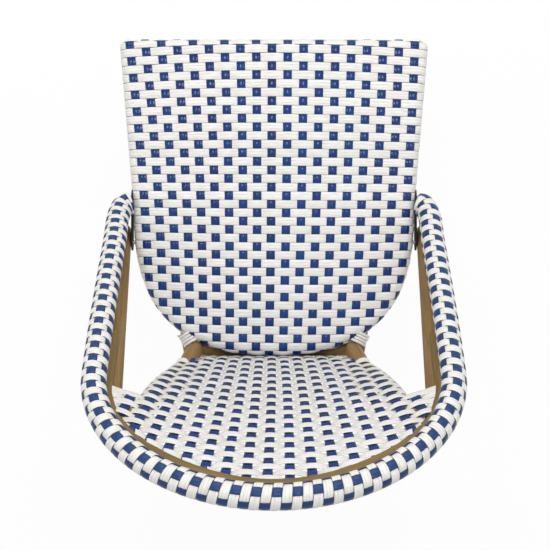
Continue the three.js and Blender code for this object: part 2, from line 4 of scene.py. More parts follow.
import bpy
import numpy as np
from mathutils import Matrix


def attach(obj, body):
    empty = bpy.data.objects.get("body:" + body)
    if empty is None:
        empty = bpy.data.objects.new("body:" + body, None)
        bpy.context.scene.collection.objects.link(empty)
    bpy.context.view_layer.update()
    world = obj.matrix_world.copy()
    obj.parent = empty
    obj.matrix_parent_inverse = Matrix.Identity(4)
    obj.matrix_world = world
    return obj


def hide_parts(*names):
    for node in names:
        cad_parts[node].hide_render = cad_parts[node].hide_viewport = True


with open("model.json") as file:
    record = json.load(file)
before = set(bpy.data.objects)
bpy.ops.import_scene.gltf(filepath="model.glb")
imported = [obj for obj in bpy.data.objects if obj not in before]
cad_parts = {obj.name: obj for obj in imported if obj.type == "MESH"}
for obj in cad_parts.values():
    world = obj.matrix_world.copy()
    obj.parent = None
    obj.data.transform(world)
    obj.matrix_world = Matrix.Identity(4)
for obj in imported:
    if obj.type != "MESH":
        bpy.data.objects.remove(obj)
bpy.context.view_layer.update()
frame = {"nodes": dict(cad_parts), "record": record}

SIDES = (("left", 1), ("right", -1))

# The camera's place in the same millimetres as the sizes below, and its lens.
CAMERA_PLACE = (-1.5, 24.4, 2462.0)
CAMERA_LENS = 89.67

# The chair's own sizes in millimetres, before the part is centred: the sitter faces -Y, +Z is up.
MM = 0.001
CENTRE_Y = 8.55
STRAND = 12.4
THICK = 1.2
SEAT_TOP = 450.0
RAIL_Z = 436.0
RAIL_R = 11.0
REACH = 310.0
HALF = 194.0
FLARE = 20.3
WIDEST_Y = -70.0
REAR_Y = 129.5
REAR_POWER = 2.55
SKIN_R = 12.65
LEAN = math.radians(45.8)
ALONG = np.array([0.0, math.cos(LEAN), math.sin(LEAN)])
FRONT = np.array([0.0, -math.sin(LEAN), math.cos(LEAN)])
HOOP_FOOT = np.array([0.0, -88.0, RAIL_Z])
PLATE_OUT = 210.3
FOOT_HALF = 227.6
HOOP_HALF = 233.0
BEND_START = 18.6
BEND_R = 22.0
STRAIGHT = 89.0
SIDE_LENGTH = 346.0
ARCH_RISE = 196.0
HOOP_R = 15.5
RING_R = 10.0
RING_REACH = 27.3
INSET_SIDE = 11.5
INSET_REAR = 24.2
HOOP_CORE_R = 13.9
FOOT_DRAW = (-10.0, 9.0)
FOOT_DRAW_TOP = 56.0
FOOT_DRAW_RUN = 60.0
RING_LAP = 95.0
RING_SHOULDER = 3.0
LEG_BEHIND_RING = 5.0
UPRIGHT_R = 12.5
UPRIGHT_INSET = 8.3
UPRIGHT_PAST = 25.0
PLATE_HALF = 12.0
CLEAR = 0.3
CROSS_R = 11.0
CROSS_Y = 134.0
CROSS_Z = 414.2
CROSS_SKIN = 12.35
LEG_R = 12.0
FOOT_Z = 6.3
FRONT_FOOT = (219.7, -302.0, FOOT_Z)
FRONT_TOP = (212.1, -284.0, 430.5)
REAR_FOOT = (150.0, 226.0, FOOT_Z)
REAR_TOP_X = 117.0
STRETCHER_R = 8.0
STRETCHER_Z = 180.0
CROSS_SHARE = 0.42
BRACE_R = 6.0
BRACE_REACH = 105.0
BRACE_ROUND = 0.12
FRONT_BRACE_END = (109.3, -REACH, RAIL_Z)
SIDE_BRACE_END = (203.2, -179.0, RAIL_Z)
REAR_BRACE_END = (72.9, CROSS_Y, CROSS_Z)
GAP = 0.1
SEAT_GAP = 0.12

# How far a strand rides over and under its middle level. LAP_TURN is how far strands lap a tube, in radians
# round it, and EDGE_COLUMN is the column past which a seat row lies level again.
SEAT_OVER = 0.75
HOOP_OVER = 0.85
BACK_OVER = 2.5
BACK_COLUMN_OVER = 1.375
LAP_TURN = 3.3
EDGE_COLUMN = 9.3
EDGE_EASE = 0.8
HOOP_STRANDS = 5

# The back's middle surface and its stiles. Slopes and hollows are what they come to SPAN_Z above the seat and
# SPAN_X aside.
SPAN_X = 200.0
SPAN_Z = 350.0
BACK_SHIFT = 144.9
BACK_SLOPE = 78.6
BACK_SWEEP = 54.1
HOLLOW_LOW = 2.9
HOLLOW_RISE = 89.0
HOLLOW_FALL = 66.5
CURL = 7.0
CURL_POWER = 8
CURL_FADE = 45.0
STILE_TOP = 655.0
STILE_SPLAY = 66.5
STILE_BOW = 17.0
STILE_SETTLE = 70.0
STILE_BEHIND = 14.5
SHOULDER_X = 184.0
SHOULDER_RISE = 30.0

# The seat's rows: their pitch, skew and corner bow at the front and at the rear, ROW_SPANS pitches further,
# fitted to the photograph.
FIRST_ROW_Y = -308.8
ROW_SPANS = 36.0
ROW_PITCH = (12.95, 12.11)
ROW_SKEW = (-0.3, -2.2)
ROW_CORNER = (6.5, -7.1)

# The winding's pitch at five even places from the hoop's left foot to its right one, and the turns made half
# way, fitted to the photograph. Nothing was measured near the left foot: its pitch carries on the change
# along the side.
WIND_PITCH = (8.12, 11.37, 12.12, 11.44, 11.14)
WIND_MIDDLE = 60.87

# The angle in degrees of the first lengthwise strand, and its twist towards the hoop's two feet.
STRAND_ANGLE = 76.0
TWIST_LEFT = 11.0
TWIST_RIGHT = 16.0
TWIST_LEFT_FROM = 690.0
TWIST_RIGHT_FROM = 900.0
TWIST_RUN = 445.0

# The back's rows: their pitch up the middle, and how far they bow up to one place and fall beyond it.
PANEL_R = 13.35
PANEL_PITCH = 12.0
BULGE_MOST = 14.0
BULGE_RUN = 45.0
PANEL_ARC_TOP = 780.0
BOW_MIDDLE = 1.4
BOW_RISE = 2.4
BOW_FALL = 2.6
BOW_TOP_X = 150.0
BOW_FALL_RUN = 45.0
EDGE_X = 183.0
EDGE_RUN = 40.0
EDGE_SLOPE = 0.39
EDGE_TOP = 690.0
EDGE_FADE = 30.0
SHOULDER_Z = 652.0
BARE_Z = 480.0
ROW_STOP = 11.0
SHORTEST_ROW = 12.0
OUTER_COLUMN = 8.6
BACK_EDGE = 0.3
BACK_EDGE_EASE = 0.6
COLUMN_FOOT = {8: 659.0, 7: 540.0, 6: BARE_Z + 2.0}
COLUMN_HEM = 32.0

AMBIENT = 0.55


# Camera, lamps and world

def make_camera():
    """A long lens straight above the chair, the seat's front edge at the top of the picture."""
    camera = bpy.data.cameras.new("camera")
    camera.lens = CAMERA_LENS
    camera.sensor_width = 36.0
    camera.clip_end = 20.0
    holder = bpy.data.objects.new("camera", camera)
    x, y, z = CAMERA_PLACE
    holder.location = (x * MM, (y + CENTRE_Y) * MM, z * MM)
    holder.rotation_euler = (0.0, 0.0, math.pi)
    bpy.context.scene.collection.objects.link(holder)
    bpy.context.scene.camera = holder


def area_lamp(name, place, target, size, power, colour=(1.0, 1.0, 1.0)):
    """A soft rectangular lamp at place, turned to face target."""
    lamp = bpy.data.lights.new(name, "AREA")
    lamp.shape = "RECTANGLE"
    lamp.size, lamp.size_y = size
    lamp.energy = power
    lamp.color = colour
    holder = bpy.data.objects.new(name, lamp)
    holder.location = place
    aim = np.array(target) - np.array(place)
    flat = math.hypot(aim[0], aim[1])
    holder.rotation_euler = (math.atan2(flat, -aim[2]), 0.0, math.atan2(aim[0], -aim[1]) + math.pi)
    bpy.context.scene.collection.objects.link(holder)


def seen_directly(tree):
    """1 for what the camera, a shiny surface or a clear one sees, 0 for the light that falls on things."""
    path = tree.nodes.new("ShaderNodeLightPath")
    total = path.outputs["Is Camera Ray"]
    for name in ("Is Glossy Ray", "Is Transmission Ray"):
        most = tree.nodes.new("ShaderNodeMath")
        most.operation = "MAXIMUM"
        tree.links.new(total, most.inputs[0])
        tree.links.new(path.outputs[name], most.inputs[1])
        total = most.outputs[0]
    return total


def make_world():
    """Even pale light; what the camera and shiny or clear things see directly is plain white."""
    world = bpy.data.worlds.new("studio")
    bpy.context.scene.world = world
    world.use_nodes = True
    tree = world.node_tree
    back = tree.nodes["Background"]
    back.inputs["Color"].default_value = (1.0, 1.0, 1.0, 1.0)
    level = tree.nodes.new("ShaderNodeMapRange")
    level.inputs["To Min"].default_value = AMBIENT
    level.inputs["To Max"].default_value = 1.0
    tree.links.new(seen_directly(tree), level.inputs["Value"])
    tree.links.new(level.outputs[0], back.inputs["Strength"])


# Materials

def rgb(code):
    """A written colour such as 8A7142 as linear red, green, blue."""
    parts = [int(code[i:i + 2], 16) / 255 for i in (0, 2, 4)]
    return [p / 12.92 if p <= 0.04045 else ((p + 0.055) / 1.055) ** 2.4 for p in parts] + [1.0]


class Finish:
    """A material with short calls for the nodes that its pattern needs."""

    def __init__(self, name, colour, roughness, metallic=0.0):
        self.material = bpy.data.materials.new(name)
        self.material.use_nodes = True
        self.tree = self.material.node_tree
        self.shader = self.tree.nodes["Principled BSDF"]
        self.shader.inputs["Base Color"].default_value = rgb(colour)
        self.shader.inputs["Roughness"].default_value = roughness
        self.shader.inputs["Metallic"].default_value = metallic

    def node(self, kind, **settings):
        made = self.tree.nodes.new(kind)
        for key, value in settings.items():
            setattr(made, key, value)
        return made

    def link(self, source, target):
        self.tree.links.new(source, target)

    def attribute(self, name):
        made = self.node("ShaderNodeAttribute", attribute_name=name)
        split = self.node("ShaderNodeSeparateXYZ")
        self.link(made.outputs["Vector"], split.inputs[0])
        return split.outputs

    def math(self, operation, a, b=0.0, c=0.0):
        made = self.node("ShaderNodeMath", operation=operation)
        for socket, value in zip(made.inputs, (a, b, c)):
            if isinstance(value, (int, float)):
                socket.default_value = value
            else:
                self.link(value, socket)
        return made.outputs[0]

    def vector(self, x, y, z):
        made = self.node("ShaderNodeCombineXYZ")
        for socket, value in zip(made.inputs, (x, y, z)):
            if isinstance(value, (int, float)):
                socket.default_value = value
            else:
                self.link(value, socket)
        return made.outputs[0]

    def noise(self, vector, scale, detail=2.0):
        made = self.node("ShaderNodeTexNoise")
        self.link(vector, made.inputs["Vector"])
        made.inputs["Scale"].default_value = scale
        made.inputs["Detail"].default_value = detail
        return made.outputs["Fac"]

    def spread(self, value, low, high, to_low=0.0, to_high=1.0):
        made = self.node("ShaderNodeMapRange")
        self.link(value, made.inputs["Value"])
        for key, number in (("From Min", low), ("From Max", high), ("To Min", to_low), ("To Max", to_high)):
            made.inputs[key].default_value = number
        return made.outputs[0]

    def mix(self, share, first, second):
        made = self.node("ShaderNodeMix", data_type="RGBA")
        if isinstance(share, (int, float)):
            made.inputs["Factor"].default_value = share
        else:
            self.link(share, made.inputs["Factor"])
        for socket, value in ((made.inputs[6], first), (made.inputs[7], second)):
            if isinstance(value, str):
                socket.default_value = rgb(value)
            else:
                self.link(value, socket)
        return made.outputs[2]

    def colour(self, source):
        self.link(source, self.shader.inputs["Base Color"])

    def rough(self, source):
        self.link(source, self.shader.inputs["Roughness"])

    def bump(self, height, distance, strength=1.0):
        made = self.node("ShaderNodeBump")
        made.inputs["Distance"].default_value = distance
        made.inputs["Strength"].default_value = strength
        self.link(height, made.inputs["Height"])
        self.link(made.outputs[0], self.shader.inputs["Normal"])


def strand_finish(name, base, shade, streak_and_groove_shade, edge_shade, roughness, ribs, gloss):
    """A flat plastic strand: three rounded ribs run its length, with faint streaks and a tone of its own;
    painted shade darkens its two grooves and its edges.
    """
    f = Finish(name, base, roughness)
    f.shader.inputs["Specular IOR Level"].default_value = gloss
    length, across, tone = f.attribute("weave")
    rib = f.math("ABSOLUTE", f.math("COSINE", f.math("MULTIPLY", across, 1.5 * math.pi)))
    grain = f.noise(f.vector(f.math("MULTIPLY", length, 0.02), f.math("MULTIPLY", across, 2.2), tone), 3.0)
    worn = f.noise(f.vector(f.math("MULTIPLY", length, 0.05), tone, across), 1.3, 1.0)
    tinted = f.mix(f.spread(tone, 0.0, 1.0), base, shade)
    streaked = f.mix(f.spread(grain, 0.45, 0.72, 0.0, 0.7), tinted, streak_and_groove_shade)
    # Painted shade in the two grooves between the ribs: they are mixed half way towards the streak colour.
    shade_in_grooves = f.spread(rib, 0.0, 0.35, 0.5, 0.0)
    with_groove_shade = f.mix(shade_in_grooves, streaked, streak_and_groove_shade)
    # Painted shade along both edges of the strand, where it meets the next one.
    shaded_rim = f.spread(f.math("ABSOLUTE", across), 0.88, 1.0, 0.0, 0.55)
    f.colour(f.mix(shaded_rim, with_groove_shade, edge_shade))
    f.rough(f.spread(worn, 0.3, 0.7, roughness - 0.05, roughness + 0.08))
    height = f.math("ADD", f.math("POWER", rib, 0.5), f.math("MULTIPLY", grain, 0.12))
    f.bump(height, ribs)
    return f.material


def cane_finish(name, dark, light):
    """A tube printed like cane: brown grain drawn out along its length, with dark lines and reddish zones."""
    f = Finish(name, "8A7142", 0.42)
    f.shader.inputs["Specular IOR Level"].default_value = 0.3
    length, around, tone = f.attribute("weave")
    turn = f.math("MULTIPLY", around, 2 * math.pi)
    ring = (f.math("MULTIPLY", f.math("COSINE", turn), 0.5), f.math("MULTIPLY", f.math("SINE", turn), 0.5))
    flow = f.math("ADD", f.math("MULTIPLY", length, 0.0028), f.math("MULTIPLY", tone, 7.0))
    broad = f.noise(f.vector(ring[0], ring[1], flow), 2.6, 3.0)
    fine = f.noise(f.vector(ring[0], ring[1], f.math("MULTIPLY", flow, 0.55)), 13.0, 4.0)
    line = f.noise(f.vector(ring[0], ring[1], f.math("MULTIPLY", flow, 0.4)), 6.5, 1.0)
    base = f.mix(f.spread(broad, 0.36, 0.64), dark, light)
    warm = f.mix(f.spread(line, 0.56, 0.68, 0.0, 0.7), base, "8B6743")
    grain = f.mix(f.spread(fine, 0.5, 0.72, 0.0, 0.55), warm, "6A5629")
    edge = f.math("ABSOLUTE", f.math("SUBTRACT", line, 0.47))
    f.colour(f.mix(f.spread(edge, 0.0, 0.012, 0.6, 0.0), grain, "5A4722"))
    f.rough(f.spread(fine, 0.3, 0.7, 0.36, 0.5))
    f.bump(fine, 0.00012)
    return f.material


def speckled(name, base, other, roughness, metallic, scale, depth):
    """A moulded or coated surface: fine speckle in its colour, gloss and height, read from its own place."""
    f = Finish(name, base, roughness, metallic)
    place = f.node("ShaderNodeTexCoord").outputs["Object"]
    fine = f.noise(place, scale, 3.0)
    wide = f.noise(place, scale / 18.0, 2.0)
    f.colour(f.mix(f.spread(f.math("ADD", fine, wide), 0.75, 1.25), base, other))
    f.rough(f.spread(wide, 0.3, 0.7, roughness - 0.06, roughness + 0.08))
    f.bump(fine, depth)
    return f.material


make_camera()
make_world()
area_lamp("front softbox", (0.0, -0.62, 2.75), (0.0, -0.1, 0.45), (1.1, 0.32), 15.0)
area_lamp("low front softbox", (0.0, -2.3, 1.7), (0.0, 0.2, 0.6), (1.8, 1.0), 22.0)
area_lamp("left softbox", (1.9, 0.2, 2.3), (0.0, 0.1, 0.5), (1.4, 1.4), 9.0)
area_lamp("right softbox", (-1.9, 0.0, 2.3), (0.0, 0.1, 0.5), (1.4, 1.4), 8.0)

# The third colour of each strand is both its grain streaks and painted shade in its grooves; the fourth is
# painted shade at its edges.
seat_white = strand_finish("seat white strand", "F0EEEB", "E7E5E0", "CBC7BE", "8E8980", 0.36, 0.00024, 0.3)
seat_blue = strand_finish("seat blue strand", "083A80", "07306E", "052354", "06122C", 0.15, 0.00036, 0.25)
hoop_white = strand_finish("hoop white strand", "EFEDE9", "E6E4DE", "C9C5BB", "8A857B", 0.36, 0.00024, 0.3)
hoop_blue = strand_finish("hoop blue strand", "254578", "1F3C6C", "182F5C", "101C3A", 0.26, 0.00022, 0.2)
cane_print = cane_finish("cane print", "7C6137", "947649")
# The ring's print is a darker copy of the cane print: painted shade, for the ring lying behind the hoop.
shaded_ring_print = cane_finish("ring cane print with painted shade", "6A5426", "836B3A")
black_plastic = speckled("black moulded plastic", "161617", "1E1E20", 0.55, 0.0, 900.0, 0.00006)
# Black coated steel whose near-black brown is partly its own colour and partly painted shade, for the dark
# gap between the seat and the hoop's foot.
shaded_dark_steel = speckled("dark coated steel with painted shade", "2C2418", "201A11", 0.6, 0.0, 700.0, 0.00004)
shaded_dark_steel.node_tree.nodes["Principled BSDF"].inputs["Specular IOR Level"].default_value = 0.08
zinc = speckled("zinc plated steel", "B9BCC0", "9EA2A7", 0.36, 1.0, 500.0, 0.00002)
bare_tube = speckled("bare aluminium tube", "A9ACAF", "93979B", 0.42, 1.0, 300.0, 0.00003)


# Meshes

def make_piece(name, points, quads, caps, weave, material, nodes=()):
    """One object: points in millimetres (n, 3), quads (m, 4), end caps (c, s), the weave values (n, 3)."""
    mesh = bpy.data.meshes.new(name)
    place = (points + np.array([0.0, CENTRE_Y, 0.0])) * MM
    mesh.vertices.add(len(place))
    mesh.vertices.foreach_set("co", place.astype(np.float32).ravel())
    corners = np.concatenate([quads.ravel(), caps.ravel()]).astype(np.int32)
    starts = np.arange(len(quads)) * 4
    if len(caps):
        starts = np.concatenate([starts, quads.size + np.arange(len(caps)) * caps.shape[1]])
    mesh.loops.add(len(corners))
    mesh.loops.foreach_set("vertex_index", corners)
    mesh.polygons.add(len(starts))
    mesh.polygons.foreach_set("loop_start", starts.astype(np.int32))
    mesh.polygons.foreach_set("use_smooth", np.ones(len(starts), dtype=bool))
    held = mesh.attributes.new("weave", "FLOAT_VECTOR", "POINT")
    held.data.foreach_set("vector", weave.astype(np.float32).ravel())
    mesh.update(calc_edges=True)
    mesh.validate()
    mesh.materials.append(material)
    piece = bpy.data.objects.new(name, mesh)
    bpy.context.scene.collection.objects.link(piece)
    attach(piece, "root")
    if nodes:
        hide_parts(*nodes)
    return piece


def sweep_faces(count, steps, around, flip=False):
    """Quads and end caps for count strips of steps rings with around points each."""
    ring = np.arange(around)
    step = np.arange(steps - 1)[:, None]
    a = step * around + ring
    b = step * around + (ring + 1) % around
    quads = np.stack([a, b, b + around, a + around], -1).reshape(-1, 4)
    caps = np.stack([ring[::-1], (steps - 1) * around + ring])
    offset = (np.arange(count) * steps * around)[:, None, None]
    quads, caps = (quads + offset).reshape(-1, 4), (caps + offset).reshape(-1, around)
    return (quads[:, ::-1], caps[:, ::-1]) if flip else (quads, caps)


# A strand's section: where each point is across the strand (-1 to 1) and how high over its middle.
ACROSS = np.array([-1.0, -0.9, -0.5, 0.0, 0.5, 0.9, 1.0, 0.85, 0.3, -0.3, -0.85])
HEIGHT = np.array([-0.05, 0.42, 0.57, 0.6, 0.57, 0.42, -0.05, -0.6, -0.6, -0.6, -0.6]) * THICK / 1.2


def wave(value, sharp):
    """A cosine of value half turns, squared off: its size is raised to the power sharp, its sign kept."""
    c = np.cos(np.pi * value)
    return np.sign(c) * np.abs(c) ** sharp


def tones(count, seed):
    """One steady number from 0 to 1 for each strand."""
    return np.random.default_rng(seed).random(count)


def strand_set(name, shape, length, tone, material, flip=False, nodes=()):
    """Flat strands side by side. shape (k, n, m, 3) gives the skin's points, length (k, n) the run along."""
    k, n, m, _ = shape.shape
    quads, caps = sweep_faces(k, n, m, flip)
    weave = np.empty((k, n, m, 3))
    weave[..., 0] = length[:, :, None]
    weave[..., 1] = ACROSS
    weave[..., 2] = tone[:, None, None]
    return make_piece(name, shape.reshape(-1, 3), quads, caps, weave.reshape(-1, 3), material, nodes)


# Seat

def seat_half(y):
    """Half the rail's width at y: straight sides that taper back to the widest place, then a superellipse."""
    back = np.clip((y - WIDEST_Y) / (REAR_Y - WIDEST_Y), 0.0, 1.0)
    front = np.clip((WIDEST_Y - y) / (WIDEST_Y + REACH), 0.0, None)
    return np.where(y > WIDEST_Y, HALF * (1 - back ** REAR_POWER) ** (1 / REAR_POWER), HALF + FLARE * front)


def rail_line():
    """The rail's middle line as a closed row of points: side, rear curve, side, then the front tube."""
    side = np.linspace(-REACH, WIDEST_Y, 30)[:-1]
    turn = np.linspace(0.0, np.pi, 361)
    power = 2 / REAR_POWER
    x = HALF * np.sign(np.cos(turn)) * np.abs(np.cos(turn)) ** power
    y = WIDEST_Y + (REAR_Y - WIDEST_Y) * np.abs(np.sin(turn)) ** power
    left = np.stack([seat_half(side), side], -1)
    right = left[::-1] * [-1, 1]
    return np.concatenate([left, np.stack([x, y], -1), right, left[:1]])


RAIL = rail_line()


def nearest_on_rail(p):
    """For points (n, 2): the closest point of the rail's middle line, piece by piece."""
    out = np.empty_like(p)
    a, d = RAIL[:-1], np.diff(RAIL, axis=0)
    size = np.maximum((d * d).sum(-1), 1e-9)
    for i in range(0, len(p), 4000):
        q = p[i:i + 4000, None, :]
        t = np.clip(((q - a) * d).sum(-1) / size, 0.0, 1.0)
        c = a + t[..., None] * d
        best = ((q - c) ** 2).sum(-1).argmin(1)
        out[i:i + 4000] = c[np.arange(len(q)), best]
    return out


def inside_rail(x, y):
    """True inside the rail's middle line."""
    return (y > -REACH) & (y < REAR_Y) & (np.abs(x) < seat_half(y))


def past_rail(x, y):
    """How far flat points lie outside the rail's middle line; 0 inside it."""
    p = np.stack([x, y], -1).reshape(-1, 2)
    far = np.linalg.norm(p - nearest_on_rail(p), axis=1).reshape(x.shape)
    return np.where(inside_rail(x, y), 0.0, far)


def fold_seat(x, y, h):
    """Lays flat points on the seat: level inside the rail's line, rolled round the tube outside it."""
    shape = x.shape
    x, y, h = x.ravel(), y.ravel(), h.ravel()
    out = np.stack([x, y, RAIL_Z + SKIN_R + h], -1)
    shaded_rim = np.flatnonzero(~inside_rail(x, y))
    p = np.stack([x[shaded_rim], y[shaded_rim]], -1)
    c = nearest_on_rail(p)
    far = np.linalg.norm(p - c, axis=1)
    n = (p - c) / np.maximum(far, 1e-9)[:, None]
    turn = far / SKIN_R
    reach = (SKIN_R + h[shaded_rim]) * np.sin(turn)
    out[shaded_rim, :2] = c + n * reach[:, None]
    out[shaded_rim, 2] = RAIL_Z + (SKIN_R + h[shaded_rim]) * np.cos(turn)
    return out.reshape(*shape, 3)


def row_terms(x):
    """Row n lies at start + run * m - closing * m * m, where m is (n - 1) / ROW_SPANS."""
    u = x / SPAN_X
    start = FIRST_ROW_Y + ROW_SKEW[0] * u + ROW_CORNER[0] * u * u
    run = ROW_SPANS * ROW_PITCH[0] + (ROW_SKEW[1] - ROW_SKEW[0]) * u + (ROW_CORNER[1] - ROW_CORNER[0]) * u * u
    return start, run, ROW_SPANS * (ROW_PITCH[0] - ROW_PITCH[1]) / 2


def row_line(n, x):
    """Where seat row n lies at x: the rows close up towards the rear and bow a little towards the corners."""
    start, run, closing = row_terms(x)
    m = (n - 1) / ROW_SPANS
    return start + run * m - closing * m * m


def row_at(x, y):
    """The row number at a place on the seat, from the same formula solved for the row."""
    start, run, closing = row_terms(x)
    return 1 + ROW_SPANS * (run - np.sqrt(run * run + 4 * closing * (start - y))) / (2 * closing)


def between(sizes, share):
    """A smooth value: the first size at share 0, the second half way, the third at share 1."""
    start, middle, end = sizes
    return start + (4 * middle - 3 * start - end) * share + 2 * (start - 2 * middle + end) * share * share


class Fan:
    """Columns that fan out from a middle one. Its place and the pitch on each side are three sizes, read by
    between: at low, half way along run, and at its end."""

    def __init__(self, low, run, middle, left_pitch, right_pitch):
        self.low, self.run = low, run
        self.middle, self.left_pitch, self.right_pitch = middle, left_pitch, right_pitch

    def pitch(self, side, share):
        return np.where(side > 0, between(self.left_pitch, share), between(self.right_pitch, share))

    def place(self, column, along):
        """Where a column lies across, at a place along it."""
        share = (along - self.low) / self.run
        return between(self.middle, share) + column * self.pitch(column, share)

    def column(self, across, along):
        """The column number at a place."""
        share = (along - self.low) / self.run
        aside = across - between(self.middle, share)
        return aside / self.pitch(aside, share)


# Both fans, fitted to the photograph: the seat's from front to rear, the back's from the seat upwards.
SEAT_FAN = Fan(-313.0, 440.0, (3.1, 3.95, 7.15), (23.2, 20.8, 19.3), (23.35, 22.2, 20.7))
BACK_FAN = Fan(SEAT_TOP, SPAN_Z, (3.7, 3.7, 8.2), (17.7, 21.8, 26.2), (18.1, 22.4, 28.0))


def outermost(make, low, high):
    """Halves a span until make(value), a distance past the rail, meets the strands' lap round it."""
    for _ in range(24):
        middle = (low + high) / 2
        short = make(middle) < LAP_TURN * SKIN_R
        low, high = np.where(short, middle, low), np.where(short, high, middle)
    return low


def seat_rows():
    """White strands across the seat: each goes over and under the columns and laps the rail at both ends."""
    n = np.arange(-2, 40)
    far = [outermost(lambda x, s=s: past_rail(s * x, row_line(n, s * x)), 0.0 * n, 300.0 + 0.0 * n)
           for s in (-1, 1)]
    keep = far[0] > 20
    n, far = n[keep], [f[keep] for f in far]
    share = np.linspace(0.0, 1.0, 150)
    x = -far[0][:, None] + (far[0] + far[1])[:, None] * share
    y = row_line(n[:, None], x)
    c = SEAT_FAN.column(x, y)
    fade = 1 - np.clip((np.abs(c) - EDGE_COLUMN) / EDGE_EASE, 0.0, 1.0)
    lift = SEAT_OVER * (1 - 2 * (n[:, None] % 2)) * wave(c, 0.6) * fade
    half = 0.5 * (row_line(n[:, None] + 0.5, x) - row_line(n[:, None] - 0.5, x)) - SEAT_GAP
    yy = y[..., None] + half[..., None] * ACROSS
    xx = np.broadcast_to(x[..., None], yy.shape)
    shape = fold_seat(xx, yy, lift[..., None] + HEIGHT)
    return strand_set("seat_rows", shape, x, tones(len(n), 3), seat_white,
                      nodes=["seat_weave"])


def seat_columns():
    """Blue strands along the seat: each goes under where a row goes over, and laps the rail at both ends."""
    j = np.arange(-9, 10)
    ends = []
    for low, high in ((-300.0, -400.0), (-120.0, 220.0)):
        low, high = low + 0.0 * j, high + 0.0 * j
        ends.append(outermost(lambda y: past_rail(SEAT_FAN.place(j, y), y), low, high))
    y = ends[0][:, None] + (ends[1] - ends[0])[:, None] * np.linspace(0.0, 1.0, 260)
    x = SEAT_FAN.place(j[:, None], y)
    r = row_at(x, y)
    lift = -SEAT_OVER * (1 - 2 * (j[:, None] % 2)) * wave(r, 0.45)
    xx = x[..., None] + 0.5 * STRAND * ACROSS
    yy = np.broadcast_to(y[..., None], xx.shape)
    shape = fold_seat(xx, yy, lift[..., None] + HEIGHT)
    return strand_set("seat_columns", shape, y, tones(len(j), 5), seat_blue, True)


seat_rows()
seat_columns()


# Routes of the hoop and the ring

def in_plane(u, v, depth=0.0):
    """Points of the hoop's leaning plane: u to the side, v up the plane, depth behind it."""
    u, v, depth = np.broadcast_arrays(u, v, depth)
    p = HOOP_FOOT + v[..., None] * ALONG - depth[..., None] * FRONT
    p = p + u[..., None] * np.array([1.0, 0.0, 0.0])
    return p


def hoop_half(v):
    """Half the hoop's width at v: straight at first, then splayed out by a quarter of a sine."""
    share = np.clip((v - STRAIGHT) / (SIDE_LENGTH - STRAIGHT), 0.0, 1.0)
    return FOOT_HALF + (HOOP_HALF - FOOT_HALF) * np.sin(share * np.pi / 2)


def hoop_line():
    """The hoop's middle line in its plane: a quarter bend, a long side and half of a half ellipse,
    mirrored; near its foot it is drawn in and up."""
    bend = np.linspace(np.pi / 2, 0.0, 40)[:-1]
    low = np.stack([FOOT_HALF - BEND_R + BEND_R * np.cos(bend), BEND_START - BEND_R * np.sin(bend)], -1)
    v = np.linspace(BEND_START, SIDE_LENGTH, 120)[:-1]
    side = np.stack([hoop_half(v), v], -1)
    turn = np.linspace(0.0, np.pi / 2, 200)
    arch = np.stack([HOOP_HALF * np.cos(turn), SIDE_LENGTH + ARCH_RISE * np.sin(turn)], -1)
    half = np.concatenate([low, side, arch])
    draw = np.clip((FOOT_DRAW_TOP - half[:, 1]) / FOOT_DRAW_RUN, 0.0, 1.0) ** 2
    half = half + draw[:, None] * FOOT_DRAW
    return np.concatenate([half, half[-2::-1] * [-1, 1]])


class Route:
    """A line through points (n, 3) read by its length, with two directions across it."""

    def __init__(self, points, side, up):
        self.points, self.side, self.up = points, side, up
        self.at = np.concatenate([[0.0], np.cumsum(np.linalg.norm(np.diff(points, axis=0), axis=1))])
        self.length = self.at[-1]

    def read(self, table, s):
        return np.stack([np.interp(s, self.at, table[:, i]) for i in range(3)], -1)

    def skin(self, s, turn, radius):
        """Points round the line: side by the cosine of turn, up by its sine, times radius."""
        s, turn, radius = np.broadcast_arrays(s, turn, radius)
        aside = np.cos(turn)[..., None] * self.read(self.side, s)
        above = np.sin(turn)[..., None] * self.read(self.up, s)
        return self.read(self.points, s) + radius[..., None] * (aside + above)


def flat_route(line, depth=0.0):
    """A route in the hoop's plane: side points out of the arch, up is the plane's front."""
    way = np.gradient(line, axis=0)
    way /= np.linalg.norm(way, axis=1)[:, None]
    points = in_plane(line[:, 0], line[:, 1], depth)
    side = way[:, 1:2] * np.array([1.0, 0.0, 0.0]) - way[:, 0:1] * ALONG
    return Route(points, side, np.broadcast_to(FRONT, points.shape))


HOOP_LINE = hoop_line()
HOOP = flat_route(HOOP_LINE)


def foot_at(gap):
    """The length along the hoop at which it stands gap outside the side plate."""
    return np.interp(PLATE_OUT + gap, HOOP_LINE[:60, 0], HOOP.at[:60])


def hoop_turns():
    """Turns of the winding against length: a smooth curve whose slope is one turn in each pitch."""
    start = foot_at(1.0)
    s = np.linspace(start, HOOP.length - start, 4000)
    middle = HOOP.length / 2
    places = np.linspace(-1.0, 1.0, len(WIND_PITCH))
    slope = np.polyfit(places, middle / np.array(WIND_PITCH), len(WIND_PITCH) - 1)
    return s, WIND_MIDDLE + np.polyval(np.polyint(slope), (s - middle) / middle)


def strand_turn(s):
    """The angle of the first lengthwise strand round the hoop, in turns from the outside to the front."""
    left = np.clip((TWIST_LEFT_FROM - s) / TWIST_RUN, 0.0, 1.0) ** 3
    right = np.clip((s - TWIST_RIGHT_FROM) / TWIST_RUN, 0.0, 1.0) ** 3
    return (STRAND_ANGLE + TWIST_LEFT * left - TWIST_RIGHT * right) / 360.0


HOOP_S, HOOP_T = hoop_turns()


